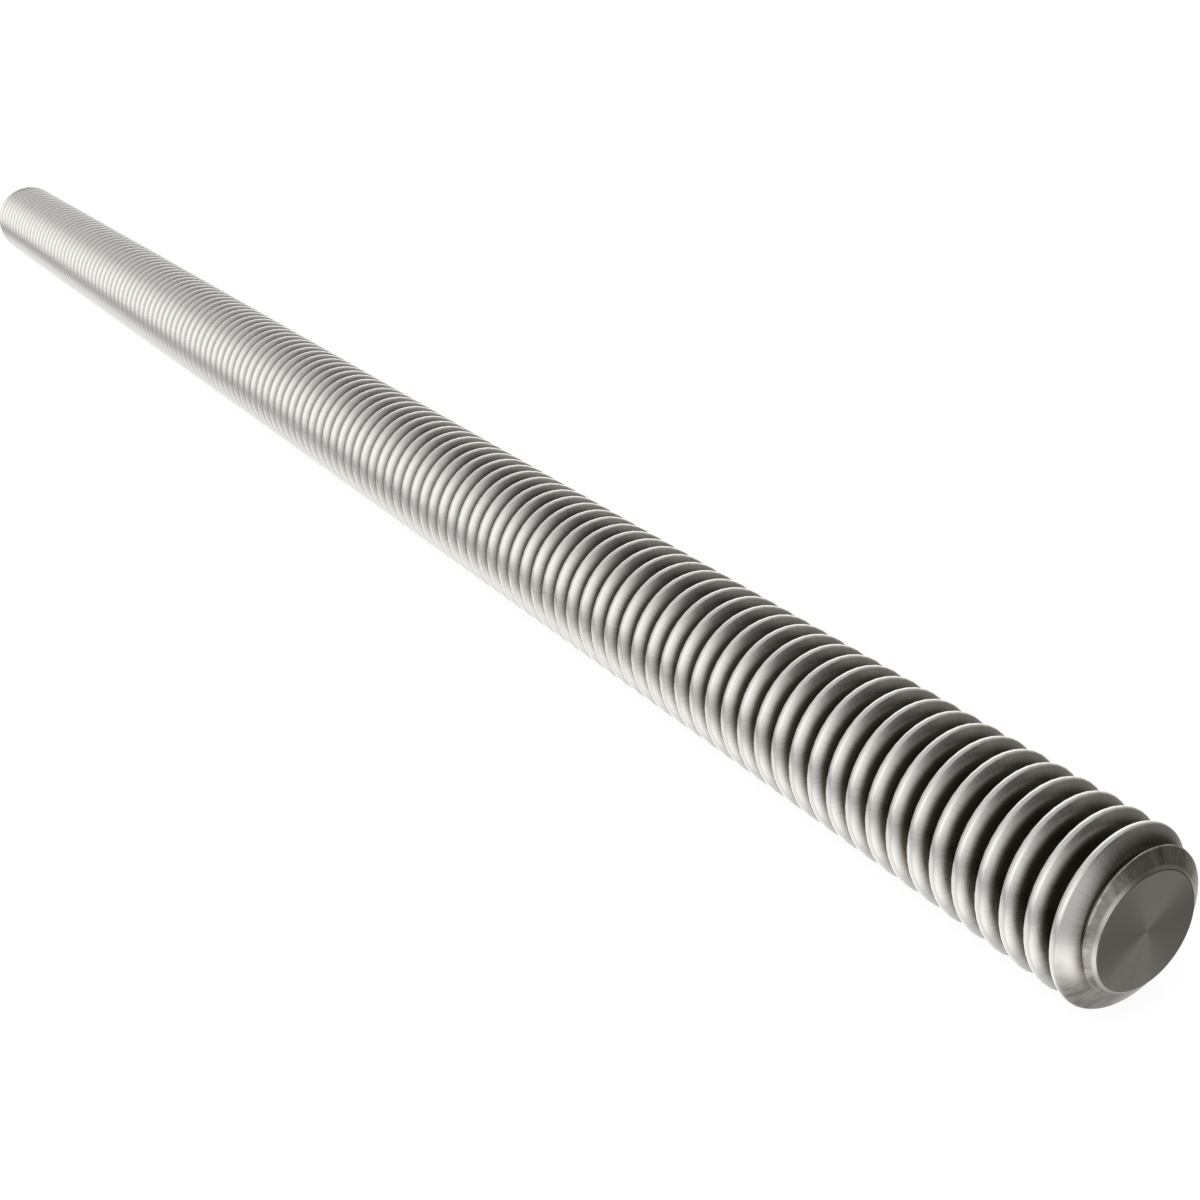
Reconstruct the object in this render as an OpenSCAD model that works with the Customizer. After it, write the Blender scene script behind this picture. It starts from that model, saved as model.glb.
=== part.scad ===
// Threaded rod, fully threaded, right-hand, with a chamfer at each end. Millimetres.
// It lies along +X, with the origin at the centre of its left end face.
// The rod is one solid: a round blank with chamfered ends, and a helical groove rolled into it.

/* [Rod] */
// Length over the two end faces
rod_length = 130; // [20:1:180]
// Diameter over the crests of the thread
major_diameter = 5.8; // [5:0.1:8]

/* [Thread] */
// Advance of the thread along the rod in one turn
pitch = 1; // [0.8:0.05:1.5]
// Angle between the two flanks of a groove
flank_angle = 60; // [55:1:64]
// Part of the pitch that is the flat on top of a crest
crest_share = 0.175; // [0.12:0.005:0.25]
// Part of the pitch that is the floor of the groove
root_share = 0.07; // [0.05:0.005:0.25]
// Turn of the whole thread about the axis
start_angle = 270; // [0:5:355]

/* [Ends] */
// Diameter of the flat face that the chamfer leaves
end_face_diameter = 3.79; // [2.5:0.01:4.6]
// Angle of the chamfer to the axis of the rod
chamfer_angle = 56; // [30:1:65]

/* [Finish] */
// Most triangles that the thread may take, which sets how many straight steps make a turn
thread_triangles = 9500; // [6000:100:10000]

/* [Hidden] */
$fn = 96;

// thread form: grooves with straight flanks, a flat floor and flat crests
flank_slope = tan(flank_angle / 2);
crest_flat = crest_share * pitch;
root_flat = root_share * pitch;
thread_depth = (pitch - crest_flat - root_flat) / 2 / flank_slope;
crest_radius = major_diameter / 2;
root_radius = crest_radius - thread_depth;
// the flanks meet in a sharp edge just outside the blank, which takes it off
edge_radius = crest_radius + crest_flat / 2 / flank_slope;

// one turn of the thread, as [along the rod, from the axis]: both corners of the floor, then the sharp edge
TURN = [[0, root_radius], [root_flat, root_radius], [(pitch + root_flat) / 2, edge_radius]];
corners = len(TURN);

// the helix starts a turn and a little before the blank, and ends a little after it
spare = pitch / 10;
helix_start = -(pitch + spare);
turns = (rod_length + spare - helix_start) / pitch;
steps_per_turn = floor(thread_triangles / (2 * corners * turns));
step_angle = 360 / steps_per_turn;
last_step = ceil(turns * steps_per_turn);
// straight steps cut inside a circle, so their corners stand out as far as their middles dip in
step_bulge = 2 / (1 + cos(step_angle / 2));

chamfer_length = (crest_radius - end_face_diameter / 2) / tan(chamfer_angle);

// the corner of the thread form, step by step along the helix
function helix_point(step, corner) =
    let (angle = start_angle + step_angle * step, r = step_bulge * corner[1])
    [helix_start + pitch * step / steps_per_turn + corner[0], r * cos(angle), r * sin(angle)];

// where that point is in the list: past its last corner, a turn goes on as the next turn
function index(step, j) = j < corners ? corners * step + j : corners * (step + steps_per_turn);

// a bar with the thread on it, longer than the rod, with a cone to close each end
module thread() {
    last_ring = last_step + steps_per_turn;
    ring_points = [for (step = [0 : last_ring], corner = TURN) helix_point(step, corner)];
    left_tip = [helix_start - pitch, 0, 0];
    right_tip = [rod_length + 2 * pitch + spare, 0, 0];
    left = len(ring_points);
    right = left + 1;
    flanks = [
        for (step = [0 : last_step - 1], j = [0 : corners - 1]) each [
            [index(step, j), index(step + 1, j + 1), index(step + 1, j)],
            [index(step, j), index(step, j + 1), index(step + 1, j + 1)]
        ]
    ];
    left_cone = [
        for (step = [0 : steps_per_turn - 1]) [left, index(step, 0), index(step + 1, 0)],
        for (j = [0 : corners - 1]) [left, index(0, j + 1), index(0, j)]
    ];
    right_cone = [
        for (step = [last_step : last_ring - 1]) [right, index(step + 1, 0), index(step, 0)],
        for (j = [0 : corners - 1]) [right, index(last_step, j), index(last_step, j + 1)]
    ];
    polyhedron([each ring_points, left_tip, right_tip], [each flanks, each left_cone, each right_cone]);
}

// the round bar before threading, with its chamfered ends
module blank() {
    face_radius = end_face_diameter / 2;
    rotate([0, 90, 0])
        rotate_extrude()
            polygon([
                [0, 0], [face_radius, 0], [crest_radius, chamfer_length],
                [crest_radius, rod_length - chamfer_length], [face_radius, rod_length], [0, rod_length]
            ]);
}

module threaded_rod() {
    color("silver")
        intersection() {
            blank();
            thread();
        }
}

threaded_rod();
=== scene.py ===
# %% [markdown]
# # A threaded rod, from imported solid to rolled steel
# The real object is one bar of stainless steel with a thread rolled along its whole
# length and a turned chamfer at each end.  Its solid is already made and packed, with
# straight flanks and flat crests.  This lesson puts a finer skin on that solid: rounded
# crests and grooves, softened edges, and the finish of rolled and of turned steel.
#
# Everything is in metres.  The rod lies along +X, with its left end face at x = 0.

import math

import bmesh
import bpy
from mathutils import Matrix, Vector


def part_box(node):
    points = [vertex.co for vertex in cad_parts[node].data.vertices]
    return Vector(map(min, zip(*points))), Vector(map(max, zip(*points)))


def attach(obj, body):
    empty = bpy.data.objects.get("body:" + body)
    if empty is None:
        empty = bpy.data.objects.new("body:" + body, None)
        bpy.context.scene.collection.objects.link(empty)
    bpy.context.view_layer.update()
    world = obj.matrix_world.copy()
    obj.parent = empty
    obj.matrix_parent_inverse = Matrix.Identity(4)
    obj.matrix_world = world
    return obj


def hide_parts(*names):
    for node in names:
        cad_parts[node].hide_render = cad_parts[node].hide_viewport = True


MM = 0.001
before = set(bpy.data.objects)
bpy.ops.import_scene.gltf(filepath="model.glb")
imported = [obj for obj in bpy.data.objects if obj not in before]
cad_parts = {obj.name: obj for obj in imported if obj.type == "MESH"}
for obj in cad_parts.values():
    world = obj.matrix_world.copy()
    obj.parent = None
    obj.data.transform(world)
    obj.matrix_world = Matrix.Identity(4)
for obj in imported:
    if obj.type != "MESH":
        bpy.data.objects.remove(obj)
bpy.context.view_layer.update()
scene = bpy.context.scene
low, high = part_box("threaded_rod")
length = high.x - low.x
crest_radius = (high.y - low.y) / 2
print(f"rod: {length / MM:.2f} mm long, {2 * crest_radius / MM:.2f} mm over the crests")

# %% [markdown]
# ## The thread's form
# A rolled thread is pressed into the bar by hardened dies, so nothing on it is sharp.
# Seen in section, a crest is an arc, a flank is a straight line 30 degrees off square,
# and the groove has an arc for its floor.  Four sizes say all of it: the pitch, the flank
# angle and the two arcs' radii.  The depth follows from them, because each arc touches
# the two flanks beside it.

# %% Sizes of the thread and of the turned ends
PITCH = 1.0 * MM
FLANK_ANGLE = math.radians(60)  # between the two sides of a groove
CREST_ROUNDING = 0.15 * MM
ROOT_ROUNDING = 0.03 * MM
CREST_AT = 0.685  # where a crest crosses the +Y line, in pitches from the left end
FACE_RADIUS = 1.895 * MM
CHAMFER_ANGLE = math.radians(57)  # to the rod's axis
EDGE_SOFTNESS = 0.14 * MM  # how widely the chamfer's cut is blended into the thread
EDGE_DEPTH = 0.10 * MM  # from the end face to where the chamfer meets the lip
LIP_ANGLE = math.radians(50)  # to the rod's axis
LIP_ROUNDING = 0.07 * MM  # between the lip and the end face

half_angle = FLANK_ANGLE / 2
rounded_off = (CREST_ROUNDING + ROOT_ROUNDING) * (1 / math.sin(half_angle) - 1)
thread_depth = PITCH / 2 / math.tan(half_angle) - rounded_off
root_across = 2 * (crest_radius - thread_depth)
print(f"thread: {thread_depth / MM:.3f} mm deep, root {root_across / MM:.3f} mm across")

# %% [markdown]
# ## A bar whose mesh already follows the thread
# The thread could be cut with a boolean, or bent out of a square grid of faces.  Both
# leave faces that cross the ridges at a slant, and metal shows that as ripples.  So the
# plain bar below is wound like a rope: one row of faces runs round and round it, and a
# row's far edge is the same edge as the next turn's near one.  Each mesh line then stays
# on one line of the thread for the rod's whole length.


# %% Where the mesh lines lie across one pitch
def across_arc(middle, radius, faces):
    """Mesh lines at even angles across one arc, from flank to flank."""
    turn = math.pi / 2 - half_angle  # an arc's end, as an angle from its middle
    return [middle + radius * math.sin(turn * (2 * i / faces - 1)) for i in range(faces + 1)]


def across_pitch(crest_faces=5, flank_faces=2, root_faces=3):
    """Shares of a pitch, from the start of one crest's arc nearly to the next one's."""
    crest = across_arc(0, CREST_ROUNDING, crest_faces)
    root = across_arc(PITCH / 2, ROOT_ROUNDING, root_faces)
    flank = [crest[-1] + (root[0] - crest[-1]) * i / flank_faces for i in range(1, flank_faces)]
    back = [PITCH - along for along in reversed(flank)]
    return [along / PITCH for along in crest + flank + root + back]


lines = across_pitch()
print(len(lines), "mesh lines in a pitch:", [round(line, 3) for line in lines])

# %% Wind the bar
STEPS = 40  # faces in one turn
OVERRUN = 1.5  # turns that are wound past each end, and cut off later


def wound_bar():
    """A bmesh of the bar's round side, longer than the rod by a turn or more at each end."""
    mesh = bmesh.new()
    first = -OVERRUN - CREST_AT
    columns = math.ceil((length / PITCH + OVERRUN - first) * STEPS)
    first = math.floor(first) + CREST_AT
    points = []
    for column in range(columns + STEPS + 1):
        angle = 2 * math.pi * column / STEPS
        y, z = crest_radius * math.cos(angle), crest_radius * math.sin(angle)
        turns = first + column / STEPS
        points.append([mesh.verts.new(((turns + line) * PITCH, y, z)) for line in lines])
    for column in range(columns):
        near, far = points[column], points[column + 1]
        near = near + [points[column + STEPS][0]]
        far = far + [points[column + STEPS + 1][0]]
        for i in range(len(lines)):
            mesh.faces.new((near[i], far[i], far[i + 1], near[i + 1]))
    for vert in [vert for vert in mesh.verts if not vert.link_faces]:
        mesh.verts.remove(vert)
    return mesh


bar = wound_bar()
print(f"wound bar: {len(bar.faces)} faces")


# %% Make the faces finer where the chamfer cuts through the thread
FINER = 5  # how many times finer the faces are at the two ends
FINE_LENGTH = 1.35 * PITCH


def refine_ends(mesh):
    """Splits the faces near both ends, and drops those that lie wholly past an end."""

    def near_end(vert):
        return vert.co.x < FINE_LENGTH or vert.co.x > length - FINE_LENGTH

    def past_end(face):
        along = [vert.co.x for vert in face.verts]
        return max(along) <= 0 or min(along) >= length

    edges = [edge for edge in mesh.edges if all(near_end(vert) for vert in edge.verts)]
    bmesh.ops.subdivide_edges(mesh, edges=edges, cuts=FINER - 1, use_grid_fill=True)
    past = [face for face in mesh.faces if past_end(face)]
    bmesh.ops.delete(mesh, geom=past, context="FACES")
    corners = [face for face in mesh.faces if len(face.verts) > 4]
    bmesh.ops.triangulate(mesh, faces=corners)


refine_ends(bar)
print(f"after refining: {len(bar.faces)} faces")

# %% [markdown]
# ## The end faces
# Each end is faced off on a lathe, and its edge is broken with a light touch of a file.
# The file leaves a narrow lip, which falls away from the face a little more steeply than
# the chamfer does, and a small rounding between the two.  The disc is made of rings whose
# corners stand exactly where the bar's mesh lines arrive, so that the two can be welded.
# The first rings follow the lip and its rounding.

# %% Rings of the end discs
ROUNDING_FACES = 4
FLAT_RINGS = (0.985, 0.93, 0.8, 0.6, 0.4, 0.2, 0.08)  # as shares of the flat's radius


def face_rings():
    """Rings from the chamfer to the middle of the face, as (depth below the face, radius)."""
    turn = math.pi / 2 - LIP_ANGLE
    arc_depth = LIP_ROUNDING * (1 - math.cos(turn))
    cone_radius = FACE_RADIUS + EDGE_DEPTH * math.tan(CHAMFER_ANGLE)
    lip_radius = cone_radius - (EDGE_DEPTH - arc_depth) * math.tan(LIP_ANGLE)
    flat = lip_radius - LIP_ROUNDING * math.sin(turn)
    rings = [(EDGE_DEPTH, cone_radius)]
    for i in range(ROUNDING_FACES + 1):
        angle = turn * (1 - i / ROUNDING_FACES)
        rings.append((LIP_ROUNDING * (1 - math.cos(angle)), flat + LIP_ROUNDING * math.sin(angle)))
    return rings + [(0, flat * share) for share in FLAT_RINGS]


def add_disc(mesh, at, outward):
    """Adds one end disc at x = at, looking along outward, +1 or -1."""
    around = STEPS * FINER
    angles = [2 * math.pi * i / around for i in range(around)]
    spokes = [(math.cos(angle), math.sin(angle)) for angle in angles]
    circles = [[mesh.verts.new((at - outward * depth, radius * y, radius * z)) for y, z in spokes]
               for depth, radius in face_rings()]
    middle = mesh.verts.new((at, 0, 0))
    for outer, inner in zip(circles, circles[1:] + [None]):
        for i in range(around):
            j = (i + 1) % around
            corners = (outer[i], outer[j]) + ((inner[j], inner[i]) if inner else (middle,))
            mesh.faces.new(corners if outward > 0 else corners[::-1])


add_disc(bar, length, 1)
add_disc(bar, 0.0, -1)
blank_mesh = bpy.data.meshes.new("threaded_rod_skin")
bar.to_mesh(blank_mesh)
bar.free()
rod = bpy.data.objects.new("threaded_rod_skin", blank_mesh)
scene.collection.objects.link(rod)
print(f"blank: {len(blank_mesh.vertices)} vertices, {len(blank_mesh.polygons)} faces")

# %% [markdown]
# ## Sums in a node tree
# A thread is a rule, radius as a function of place, so Geometry Nodes can roll it.  The
# rule has many sums in it, and one Math node for each is slow to read.  This small
# class lets Python write them: adding two Numbers adds a Math node to the tree.


# %% Write sums as nodes
class Number:
    """A number inside a node tree, on which + - * / and the named functions add Math nodes."""

    def __init__(self, tree, socket):
        self.tree, self.socket = tree, socket

    def math(self, operation, *others):
        made = self.tree.nodes.new("ShaderNodeMath")
        made.operation = operation
        for socket, value in zip(made.inputs, (self, *others)):
            plug(self.tree, value, socket)
        return Number(self.tree, made.outputs[0])

    def __add__(self, other):
        return self.math("ADD", other)

    def __sub__(self, other):
        return self.math("SUBTRACT", other)

    def __mul__(self, other):
        return self.math("MULTIPLY", other)

    def __truediv__(self, other):
        return self.math("DIVIDE", other)

    def where(self, test, other):
        """This number where test is 1, and the other one where it is 0."""
        return (self - other) * test + other

    def clamped(self):
        """This number, kept between 0 and 1."""
        return self.math("MAXIMUM", 0.0).math("MINIMUM", 1.0)


def plug(tree, value, socket):
    """Feeds a node's input from a Number or from another node's output, or sets it to a value."""
    value = value.socket if isinstance(value, Number) else value
    if isinstance(value, bpy.types.NodeSocket):
        tree.links.new(value, socket)
    else:
        socket.default_value = value


def arc_height(along, radius):
    """How far an arc stands above its centre, at a distance along from its middle."""
    return (radius * radius - along * along).math("MAXIMUM", 0.0).math("SQRT")


# %% [markdown]
# ## Rolling the thread
# Every point of the plain bar is moved straight in or out.  How far depends only on how
# far along the rod it is from the nearest crest, measured on its own line of the bar.
# That distance picks one of three shapes: the crest's arc, the flank's line or the
# groove's arc.  The chamfer is a cone, and the lower of the two surfaces wins, with a
# soft hand-over so that the cut edge is rounded.

# %% Named inputs of the tree
tree = bpy.data.node_groups.new("Rolled thread", "GeometryNodeTree")
inputs = {}


def add_input(name, kind, value):
    """Adds an input, and notes its identifier and the value it will be given."""
    item = tree.interface.new_socket(name=name, in_out="INPUT", socket_type="NodeSocket" + kind)
    inputs[name] = (item.identifier, value)


tree.interface.new_socket(name="Geometry", in_out="INPUT", socket_type="NodeSocketGeometry")
for name, value in [
    ("Length", length), ("Crest radius", crest_radius), ("Pitch", PITCH), ("Depth", thread_depth),
    ("Half flank angle", half_angle), ("Crest rounding", CREST_ROUNDING),
    ("Root rounding", ROOT_ROUNDING), ("Crest at", CREST_AT), ("Face radius", FACE_RADIUS),
    ("Chamfer angle", CHAMFER_ANGLE), ("Edge softness", EDGE_SOFTNESS), ("Edge depth", EDGE_DEPTH),
]:
    add_input(name, "Float", value)
add_input("Rolled steel", "Material", None)
add_input("Turned steel", "Material", None)
tree.interface.new_socket(name="Geometry", in_out="OUTPUT", socket_type="NodeSocketGeometry")
group_in = tree.nodes.new("NodeGroupInput")
group_out = tree.nodes.new("NodeGroupOutput")
size = {name: Number(tree, group_in.outputs[name]) for name in inputs if "steel" not in name}
print(len(inputs), "inputs")

# %% Radius of the thread at each point
position = tree.nodes.new("GeometryNodeInputPosition")
parts = tree.nodes.new("ShaderNodeSeparateXYZ")
tree.links.new(position.outputs[0], parts.inputs[0])
x, y, z = (Number(tree, socket) for socket in parts.outputs)

angle = z.math("ARCTAN2", y)
turns_in = x / size["Pitch"] - angle / (2 * math.pi) - size["Crest at"]
from_crest = turns_in.math("PINGPONG", 0.5) * size["Pitch"]
from_root = size["Pitch"] / 2 - from_crest

sine, cosine = size["Half flank angle"].math("SINE"), size["Half flank angle"].math("COSINE")
crest_centre = size["Crest radius"] - size["Crest rounding"]
root_centre = size["Crest radius"] - size["Depth"] + size["Root rounding"]
crest_arc = crest_centre + arc_height(from_crest, size["Crest rounding"])
root_arc = root_centre - arc_height(from_root, size["Root rounding"])
flank_line = crest_centre + size["Crest rounding"] / sine - from_crest * cosine / sine
on_crest = from_crest.math("LESS_THAN", size["Crest rounding"] * cosine)
on_root = from_root.math("LESS_THAN", size["Root rounding"] * cosine)
thread_radius = crest_arc.where(on_crest, root_arc.where(on_root, flank_line))

# %% Cut the ends, and keep what lies past them on the faces' edges
first_x, last_x = size["Edge depth"], size["Length"] - size["Edge depth"]
held_x = x.math("MAXIMUM", first_x).math("MINIMUM", last_x)
from_end = held_x.math("MINIMUM", size["Length"] - held_x)
cone_radius = size["Face radius"] + from_end * size["Chamfer angle"].math("TANGENT")
radius = thread_radius.math("SMOOTH_MIN", cone_radius, size["Edge softness"])
past_end = x.math("LESS_THAN", first_x).math("MAXIMUM", x.math("GREATER_THAN", last_x))
radius = cone_radius.where(past_end, radius)

moved = tree.nodes.new("ShaderNodeCombineXYZ")
new_place = (held_x, radius * angle.math("COSINE"), radius * angle.math("SINE"))
for number, socket in zip(new_place, moved.inputs):
    plug(tree, number, socket)

# %% The discs stay as they are, and are welded on
distance = (y * y + z * z).math("SQRT")
on_side = distance.math("GREATER_THAN", (size["Crest radius"] + size["Face radius"]) / 2)


def step(kind, geometry, **sockets):
    """Adds a geometry node after another, and fills its named sockets."""
    made = tree.nodes.new(kind)
    tree.links.new(geometry, made.inputs[0])
    for name, value in sockets.items():
        plug(tree, value, made.inputs[name])
    return made.outputs[0]


WELD = 0.4e-6  # metres
blank = group_in.outputs["Geometry"]
rolled_on, turned_on = group_in.outputs["Rolled steel"], group_in.outputs["Turned steel"]
rolled = step("GeometryNodeSetPosition", blank, Selection=on_side, Position=moved.outputs[0])
rolled = step("GeometryNodeMergeByDistance", rolled, Distance=WELD)
rolled = step("GeometryNodeSetShadeSmooth", rolled)
rolled = step("GeometryNodeRealizeInstances", rolled)
rolled = step("GeometryNodeSetMaterial", rolled, Material=rolled_on)
end_depth = x.math("MINIMUM", size["Length"] - x)
on_disc = end_depth.math("LESS_THAN", size["Edge depth"] * 0.5)
rolled = step("GeometryNodeSetMaterial", rolled, Selection=on_disc, Material=turned_on)
tree.links.new(rolled, group_out.inputs[0])
print(len(tree.nodes), "nodes in the tree")

# %% [markdown]
# ## Steel, rolled and turned
# Stainless steel that has been through thread rolls is satin rather than bright: the
# dies press a fine grain into it that runs down the flanks.  Its colour follows the
# height above the axis: the grooves are painted a dark grey-brown, as painted shade in
# place of the shade that lies deep in them, and the crests keep the clean steel.  On the
# last turn the painted shade reaches less far up, so that the flank beside the chamfer
# stays lighter.  The chamfer itself is scuffed, and the filed lip inside it is bright.
# A thin dark line of painted shade runs round each end face where the lip meets it.
# The turned faces carry the tool's feed marks, fine rings about the centre, and those
# stretch a reflection into the two bright wedges that any turned face shows.


# %% Nodes for the materials
def shader_node(tree, kind, inputs=(), **settings):
    """Adds a node; inputs says what to plug into its sockets, and settings are its options."""
    made = tree.nodes.new(kind)
    for name, value in settings.items():
        setattr(made, name, value)
    for name, value in dict(inputs).items():
        plug(tree, value, made.inputs[name])
    return made


def new_steel(name):
    """A material with a metal shader, and its tree, shader and place on the rod in millimetres."""
    material = bpy.data.materials.new(name)
    material.use_nodes = True
    nodes = material.node_tree
    shader = nodes.nodes["Principled BSDF"]
    shader.inputs["Metallic"].default_value = 1.0
    place = shader_node(nodes, "ShaderNodeTexCoord").outputs["Object"]
    per_metre = (1 / MM, 1 / MM, 1 / MM)
    scaled = shader_node(nodes, "ShaderNodeVectorMath", {0: place, 1: per_metre},
                         operation="MULTIPLY")
    parts = shader_node(nodes, "ShaderNodeSeparateXYZ", {0: scaled.outputs[0]})
    return material, nodes, shader, [Number(nodes, socket) for socket in parts.outputs]


def noise_at(nodes, x, y, z, detail=3.0, roughness=0.55):
    """A 0 to 1 pattern; the faster a coordinate grows across the metal, the finer it is."""
    place = shader_node(nodes, "ShaderNodeCombineXYZ", {"X": x, "Y": y, "Z": z}).outputs[0]
    sockets = {"Vector": place, "Scale": 1.0, "Detail": detail, "Roughness": roughness}
    return Number(nodes, shader_node(nodes, "ShaderNodeTexNoise", sockets).outputs["Fac"])


def between(value, low, high):
    """Spreads a 0 to 1 pattern over a range."""
    return value * (high - low) + low


COLOUR_A, COLOUR_B, COLOUR_RESULT = 6, 7, 2  # the colour sockets of a Mix node, by place


def blend_colours(nodes, share, first, second):
    """The first colour where share is 0, and the second where it is 1."""
    sockets = {"Factor": share, COLOUR_A: first, COLOUR_B: second}
    return shader_node(nodes, "ShaderNodeMix", sockets, data_type="RGBA").outputs[COLOUR_RESULT]


def blend_shaders(nodes, share, first, second):
    """The first shader where share is 0, and the second where it is 1."""
    sockets = {0: share, 1: first.outputs[0], 2: second.outputs[0]}
    return shader_node(nodes, "ShaderNodeMixShader", sockets)


# %% Colours, and the places where they change
# Painted shade: the first colour darkens the grooves in place of their shade, and the second
# paints a dark line of shade round each end face.
PAINTED_GROOVE_SHADE, PAINTED_RIM_SHADE = (0.085, 0.074, 0.057, 1), (0.05, 0.045, 0.038, 1)
DULL_STEEL, CLEAN_STEEL = (0.59, 0.58, 0.557, 1), (0.71, 0.70, 0.677, 1)
SCUFFED_DARK, SCUFFED_LIGHT = (0.19, 0.18, 0.163, 1), (0.46, 0.44, 0.408, 1)
FACED_DARK, FACED_LIGHT = (0.40, 0.386, 0.36, 1), (0.48, 0.465, 0.438, 1)
FILED_STEEL = (0.50, 0.485, 0.457, 1)

# All in millimetres; a fade is the distance over which one colour gives way to another.
GROOVE_SHADE_TOP, GROOVE_SHADE_FADE = 2.50, 0.35  # how far from the axis the painted groove shade is whole
GROOVE_SHADE_WAVER = 0.06  # how much lower its top is along some of the grain
SHADE_LOWERED_DEPTH, SHADE_LOWERED_FADE = 0.85, 0.4  # how far in from the end face the painted groove shade's top is lowered
SHADE_LOWERED_DROP = 0.29  # how much lower its top is there
CUT_MARGIN, CUT_FADE = 0.12, 0.1  # how far under the chamfer's cone its colour begins
LIP_TOP, LIP_FADE = 2.07, 0.05  # how far from the axis the filed lip's colour ends
RIM_SHADE_AT, RIM_SHADE_FADE = 1.945, 0.03  # a painted line of shade where the lip meets the face

# %% Rolled steel
# The chamfer shares this material, and is told from the thread by its place on the cone.
rolled_steel, nodes, shader, (mx, my, mz) = new_steel("rolled_stainless")
reach = (my * my + mz * mz).math("SQRT").math("MAXIMUM", 0.001)
side_y, side_z = my / reach, mz / reach
end_depth = mx.math("MINIMUM", mx * -1.0 + length / MM)

grain = noise_at(nodes, mx * 0.8, side_y * 30, side_z * 30, detail=4.0, roughness=0.6)
fine = noise_at(nodes, mx * 3, side_y * 110, side_z * 110)
cloud = noise_at(nodes, mx * 0.5, my * 0.5, mz * 0.5, detail=2.0)
clean = blend_colours(nodes, between(grain, -0.1, 0.7) + cloud * 0.4, DULL_STEEL, CLEAN_STEEL)

# Painted shade: the thread's colour darkens toward the axis, in place of the shade in the grooves,
# and its top is lowered on the last turn.
shade_lowered = ((end_depth * -1.0 + SHADE_LOWERED_DEPTH) / SHADE_LOWERED_FADE).clamped()
groove_shade_top = between(grain, GROOVE_SHADE_TOP, GROOVE_SHADE_TOP - GROOVE_SHADE_WAVER) - shade_lowered * SHADE_LOWERED_DROP
shade_free = ((reach - groove_shade_top) / GROOVE_SHADE_FADE).clamped()
shade_free = shade_free * shade_free * (shade_free * -2.0 + 3.0)  # eased at both ends
thread_colour_and_shade = blend_colours(nodes, shade_free, PAINTED_GROOVE_SHADE, clean)

cone = end_depth * math.tan(CHAMFER_ANGLE) + FACE_RADIUS / MM
cut = ((reach - cone + CUT_MARGIN) / CUT_FADE).clamped()
scuff = noise_at(nodes, reach * 1.5, side_y * 9, side_z * 9, detail=5.0, roughness=0.65)
scuffed = blend_colours(nodes, between(scuff, -0.7, 1.7), SCUFFED_DARK, SCUFFED_LIGHT)
filed = ((reach * -1.0 + LIP_TOP) / LIP_FADE).clamped()
chamfer_colour = blend_colours(nodes, filed, scuffed, FILED_STEEL)

plug(nodes, blend_colours(nodes, cut, thread_colour_and_shade, chamfer_colour), shader.inputs["Base Color"])
plug(nodes, between(grain, 0.15, 0.25) + cloud * 0.04 + cut * 0.02, shader.inputs["Roughness"])
bump = shader_node(nodes, "ShaderNodeBump",
                   {"Strength": 0.1, "Distance": 0.006 * MM, "Height": grain + fine * 0.3})
plug(nodes, bump.outputs[0], shader.inputs["Normal"])
print("rolled steel:", len(nodes.nodes), "nodes")

# %% Turned steel
turned_steel, nodes, shader, (mx, my, mz) = new_steel("turned_stainless")
reach = (my * my + mz * mz).math("SQRT").math("MAXIMUM", 0.001)
feed = noise_at(nodes, reach * 14, 0.0, 0.0, detail=4.0, roughness=0.65)
cloud = noise_at(nodes, my * 1.2, mz * 1.2, 0.0)
faced = blend_colours(nodes, feed, FACED_DARK, FACED_LIGHT)
# Painted shade: a thin dark ring where the lip meets the face, in place of the shade there.
rim_shade = ((reach - RIM_SHADE_AT).math("ABSOLUTE") * -1.0 / RIM_SHADE_FADE + 1.2).clamped()

plug(nodes, blend_colours(nodes, rim_shade * 0.85, faced, PAINTED_RIM_SHADE), shader.inputs["Base Color"])
plug(nodes, between(feed, 0.26, 0.36) + cloud * 0.05, shader.inputs["Roughness"])
plug(nodes, 0.85, shader.inputs["Anisotropic"])
tangent = shader_node(nodes, "ShaderNodeTangent", direction_type="RADIAL", axis="X")
plug(nodes, tangent.outputs[0], shader.inputs["Tangent"])
bump = shader_node(nodes, "ShaderNodeBump",
                   {"Strength": 0.2, "Distance": 0.01 * MM, "Height": feed})
plug(nodes, bump.outputs[0], shader.inputs["Normal"])
print("turned steel:", len(nodes.nodes), "nodes")

# %% [markdown]
# ## From rule to mesh
# The modifier's inputs are set by their sockets' identifiers before anything looks at
# the result.  The result is then copied into a plain mesh, because the tree has done
# its work and a plain mesh travels to any program.

# %% Run the tree once and keep its mesh
modifier = rod.modifiers.new("Rolled thread", "NODES")
modifier.node_group = tree
steels = {"Rolled steel": rolled_steel, "Turned steel": turned_steel}
for name, (identifier, value) in inputs.items():
    modifier[identifier] = steels.get(name, value)
result = rod.evaluated_get(bpy.context.evaluated_depsgraph_get())
rolled_mesh = bpy.data.meshes.new_from_object(result)
rod.modifiers.remove(modifier)
rod.data = rolled_mesh
bpy.data.meshes.remove(blank_mesh)
rolled_mesh.name = "threaded_rod_skin"

check = bmesh.new()
check.from_mesh(rolled_mesh)
open_edges = sum(not (edge.is_manifold and edge.is_contiguous) for edge in check.edges)
triangles = sum(len(face.verts) - 2 for face in check.faces)
volume = check.calc_volume(signed=True)
check.free()
print(f"skin: {triangles} triangles, {open_edges} open edges, {volume / MM**3:.1f} mm3")

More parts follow.
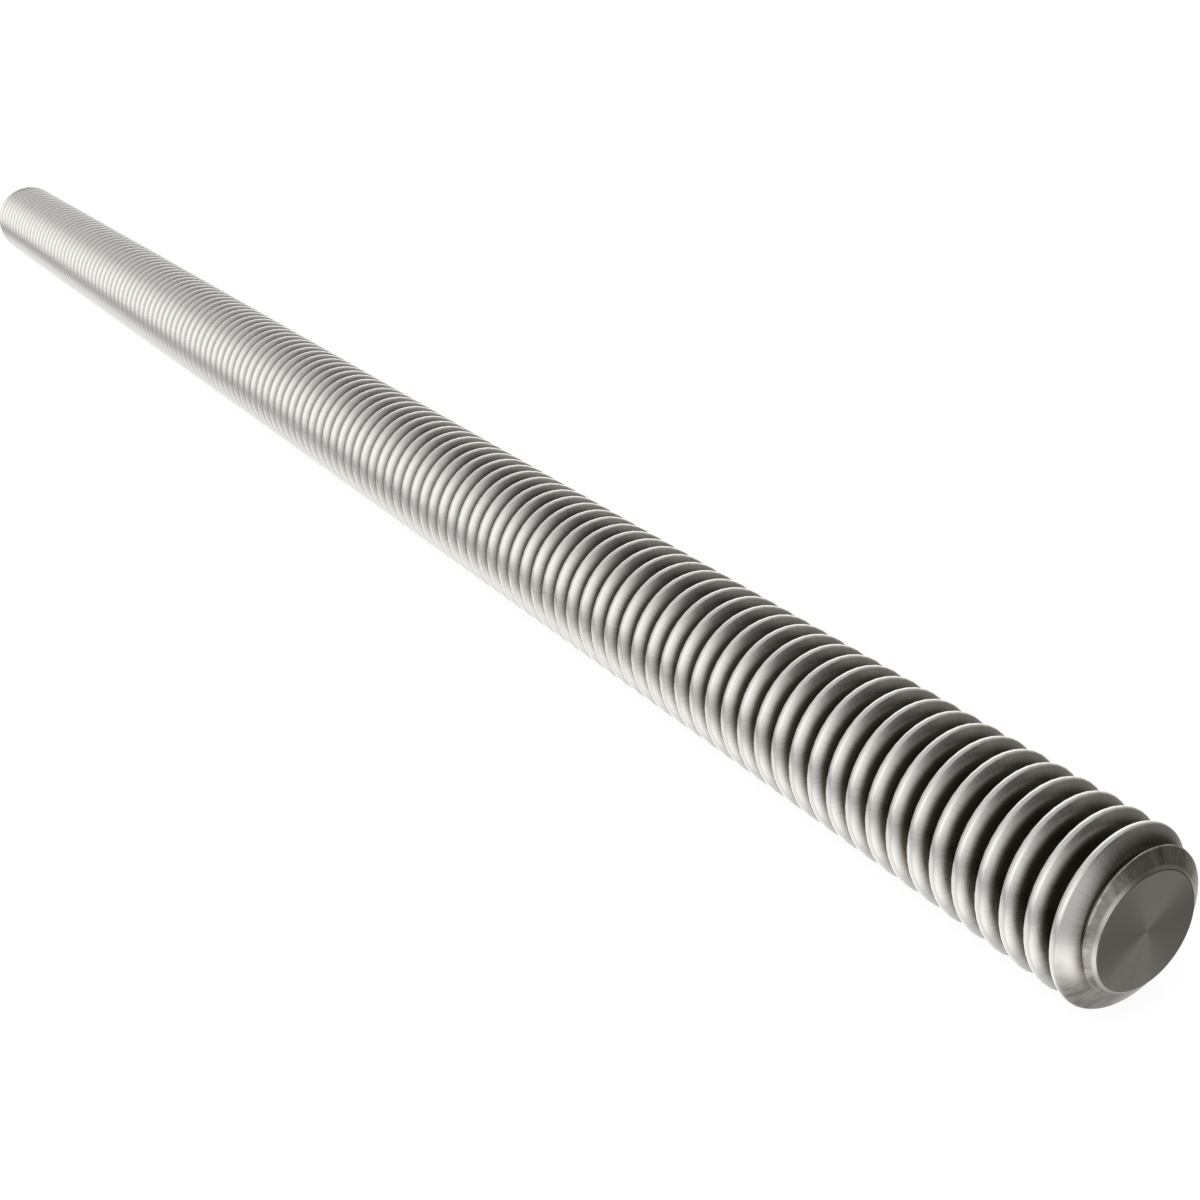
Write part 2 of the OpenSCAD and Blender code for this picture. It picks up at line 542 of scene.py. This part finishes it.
# %% Hand the skin to the frame
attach(rod, "root")
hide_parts("threaded_rod")
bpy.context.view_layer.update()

# %% [markdown]
# ## Studio light
# Bare metal has no colour of its own to show: what is seen is the room.  So the room is
# made to suit, as white sheets are hung round a bright tool in a studio.  The ceiling and
# the walls are pale, and the sheets on the near side and past the far end are brighter.
# The doorway behind the rod is left dark, and so is the lintel over it, and what comes in
# that way is a little warmer.  Every flank that faces it turns dark, and the ridges stand
# out between them.  The table's edge is one more dark band, just below the horizon, and
# draws a soft dark line along the rod's near side.
#
# Real patches of light fade at their edges.  Each one here is a single direction and a
# width, and the band is a height and a width.  So the whole room is a short sum, and it
# can be tuned one patch at a time.


# %% Soft patches and bands of light
def toward(azimuth, elevation):
    """The direction at an angle from +X toward +Y and an angle above the horizon, in degrees."""
    azimuth, elevation = math.radians(azimuth), math.radians(elevation)
    flat = math.cos(elevation)
    return flat * math.cos(azimuth), flat * math.sin(azimuth), math.sin(elevation)


def eased(nodes, value, nothing, full):
    """0 where value is nothing, 1 where it is full, and eased between them."""
    limits = {"Value": value, "From Min": nothing, "From Max": full}
    made = shader_node(nodes, "ShaderNodeMapRange", limits, interpolation_type="SMOOTHSTEP")
    return Number(nodes, made.outputs[0])


def soft_patch(nodes, direction, azimuth, elevation, width):
    """1 in the middle of a round patch of the room, and 0 from width degrees away from it."""
    facing = shader_node(nodes, "ShaderNodeVectorMath",
                         {0: direction, 1: toward(azimuth, elevation)}, operation="DOT_PRODUCT")
    return eased(nodes, facing.outputs["Value"], math.cos(math.radians(width)), 1.0)


def soft_band(nodes, direction, elevation, width):
    """1 all round the room at one elevation, and 0 from about width degrees above or below it."""
    upward = Number(nodes, shader_node(nodes, "ShaderNodeSeparateXYZ", {0: direction}).outputs[2])
    away = (upward - math.sin(math.radians(elevation))).math("ABSOLUTE")
    return eased(nodes, away, math.sin(math.radians(width)), 0.0)


# %% The room
# Each patch is given by its azimuth, its elevation and its width, in degrees.  The sums
# then say how much each one adds to the ceiling's brightness, or what share it takes away.
CEILING = 0.69
WHITE, WHITE_SHEETS, WARM_DOORWAY = (1, 1, 1, 1), (1, 0.991, 0.982, 1), (1, 0.94, 0.855, 1)
world = bpy.data.worlds.new("studio")
scene.world = world
world.use_nodes = True
nodes = world.node_tree
nodes.nodes.clear()
direction = shader_node(nodes, "ShaderNodeTexCoord").outputs["Generated"]
near_sheet = soft_patch(nodes, direction, -46, 13, 42)
near_wall = soft_patch(nodes, direction, -100, 31, 55)
far_sheet = soft_patch(nodes, direction, 150, 23, 47)
far_wall = soft_patch(nodes, direction, 88, -5, 53)
table_near = soft_patch(nodes, direction, -18, -42, 25)
table_left = soft_patch(nodes, direction, -111, -47, 66)
table_far = soft_patch(nodes, direction, 168, -43, 28)
near_side = soft_patch(nodes, direction, -95, -11, 100)
table_edge = soft_band(nodes, direction, -11, 18) * near_side
doorway = soft_patch(nodes, direction, 70, -6, 71)
lintel = soft_patch(nodes, direction, 24, 35, 29)
walls = near_sheet * 0.78 + near_wall * 0.43 + far_sheet * 0.85 + far_wall * 1.5
room = walls + table_near * 0.8 + table_left * 0.60 + table_far * 0.80 + CEILING
room = room * (table_edge * -0.55 + 1.0) * (doorway * -0.91 + 1.0) * (lintel * -0.78 + 1.0)
tint = blend_colours(nodes, doorway, WHITE_SHEETS, WARM_DOORWAY)
rays = shader_node(nodes, "ShaderNodeLightPath")
back = shader_node(nodes, "ShaderNodeBackground", {"Color": tint, "Strength": room})
white = shader_node(nodes, "ShaderNodeBackground", {"Color": WHITE, "Strength": 1.0})
either = blend_shaders(nodes, rays.outputs["Is Camera Ray"], back, white)
shader_node(nodes, "ShaderNodeOutputWorld", {"Surface": either.outputs[0]})
print("room:", len(nodes.nodes), "nodes")

# %% [markdown]
# ## The table it lies on
# A pale table top, level with the rod's lowest crests.  To the camera it is plain white,
# with a little of the rod's soft shadow kept.  Reflected rays pass through it to the
# room's own table patches, so that one rule lights every side of the rod.  The table is
# clear from underneath, so that the rod can be looked at from below.  A soft lamp lays
# the shadow, and leaves no glint of its own on the metal.

# %% Table
TABLE_COLOUR = (0.85, 0.85, 0.85, 1)
GLOW = 1.08
GLOW_SHARE = 0.85  # of what the camera sees; the rest is left to show the shadow
table_mesh = bpy.data.meshes.new("table")
spread = 40 * length
corners = [(-spread, -spread), (spread, -spread), (spread, spread), (-spread, spread)]
table_mesh.from_pydata([(*corner, low.z) for corner in corners], [], [(0, 1, 2, 3)])
table_top = bpy.data.objects.new("table", table_mesh)
scene.collection.objects.link(table_top)

pale = bpy.data.materials.new("pale_table")
pale.use_nodes = True
nodes = pale.node_tree
nodes.nodes.clear()
rays = shader_node(nodes, "ShaderNodeLightPath")
surface = shader_node(nodes, "ShaderNodeBsdfDiffuse", {"Color": TABLE_COLOUR})
glow = shader_node(nodes, "ShaderNodeEmission", {"Color": WHITE, "Strength": GLOW})
by_camera = Number(nodes, rays.outputs["Is Camera Ray"])
seen = blend_shaders(nodes, by_camera * GLOW_SHARE, surface, glow)
clear = shader_node(nodes, "ShaderNodeBsdfTransparent")
below = Number(nodes, shader_node(nodes, "ShaderNodeNewGeometry").outputs["Backfacing"])
passed = below.math("MAXIMUM", Number(nodes, rays.outputs["Is Glossy Ray"]))
one_sided = blend_shaders(nodes, passed, seen, clear)
shader_node(nodes, "ShaderNodeOutputMaterial", {"Surface": one_sided.outputs[0]})
table_mesh.materials.append(pale)

# %% A soft lamp, one metre from the middle of the rod
lamp_data = bpy.data.lights.new("shadow_lamp", "AREA")
lamp_data.size, lamp_data.energy = 0.8, 4.0  # metres, watts
lamp = bpy.data.objects.new("shadow_lamp", lamp_data)
scene.collection.objects.link(lamp)
lamp_side = Vector(toward(-100, 60))
lamp.location = Vector((length / 2, 0, 0)) + lamp_side
lamp.rotation_euler = lamp_side.to_track_quat("Z", "Y").to_euler()
lamp.visible_glossy = False

# %% [markdown]
# ## Camera
# It stands near one end, a little above the rod, and looks back along it, so that the
# ridges crowd together towards the far end.

# %% Camera beside the near end
TURNED, TILTED = math.radians(59.05), math.radians(23.13)  # from +Y toward -X, and downward
NEAR_END_RIGHT, NEAR_END_DOWN, NEAR_END_AHEAD = 5.3205, 3.2265, 16.092  # in crest radii
scene.view_settings.view_transform = "Standard"
camera_data = bpy.data.cameras.new("camera")
camera_data.sensor_width, camera_data.lens = 36.0, 49.6  # millimetres
camera = bpy.data.objects.new("camera", camera_data)
scene.collection.objects.link(camera)
scene.camera = camera
level = math.cos(TILTED)
ahead = Vector((-math.sin(TURNED) * level, math.cos(TURNED) * level, -math.sin(TILTED)))
right = ahead.cross(Vector((0, 0, 1))).normalized()
up = right.cross(ahead)
near_end = Vector((length, 0, 0))
to_near_end = NEAR_END_RIGHT * right - NEAR_END_DOWN * up + NEAR_END_AHEAD * ahead
camera.location = near_end - crest_radius * to_near_end
camera.rotation_euler = (-ahead).to_track_quat("Z", "Y").to_euler()
camera_data.clip_start, camera_data.clip_end = 0.1 * crest_radius, 100 * length
print("camera at", [round(v / MM, 2) for v in camera.location])
